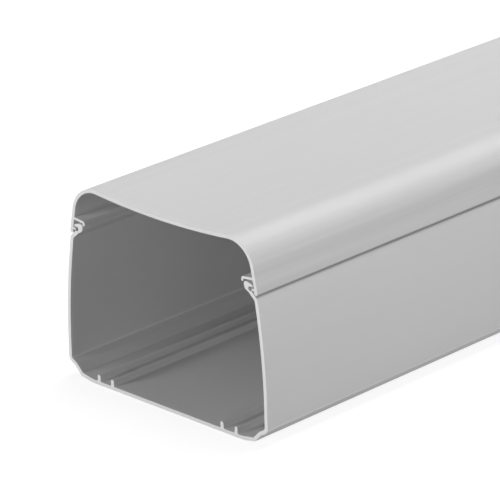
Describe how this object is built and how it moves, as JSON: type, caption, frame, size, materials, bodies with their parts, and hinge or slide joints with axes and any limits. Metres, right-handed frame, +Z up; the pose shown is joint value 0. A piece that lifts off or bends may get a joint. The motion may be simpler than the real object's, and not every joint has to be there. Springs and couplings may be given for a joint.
{
  "type": "line set cover duct",
  "caption": "Straight length of press-together plastic line set duct: a trough with curled edges and floor ribs, closed by a dished, round-shouldered cover.",
  "frame": {"origin": "middle of the duct's length and width, on the floor under the trough", "axes": "+Y along the duct, +Z up from the trough's floor to the cover, +X across it"},
  "size_m": [0.14, 2, 0.1054],
  "materials": {
    "trough_plastic": "satin light grey rigid PVC with fine lengthwise die lines",
    "cover_plastic": "satin light grey rigid PVC with fine lengthwise die lines"
  },
  "bodies": {
    "root": {"duct_trough": "trough_plastic", "duct_cover": "cover_plastic"}
  },
  "joints": []
}
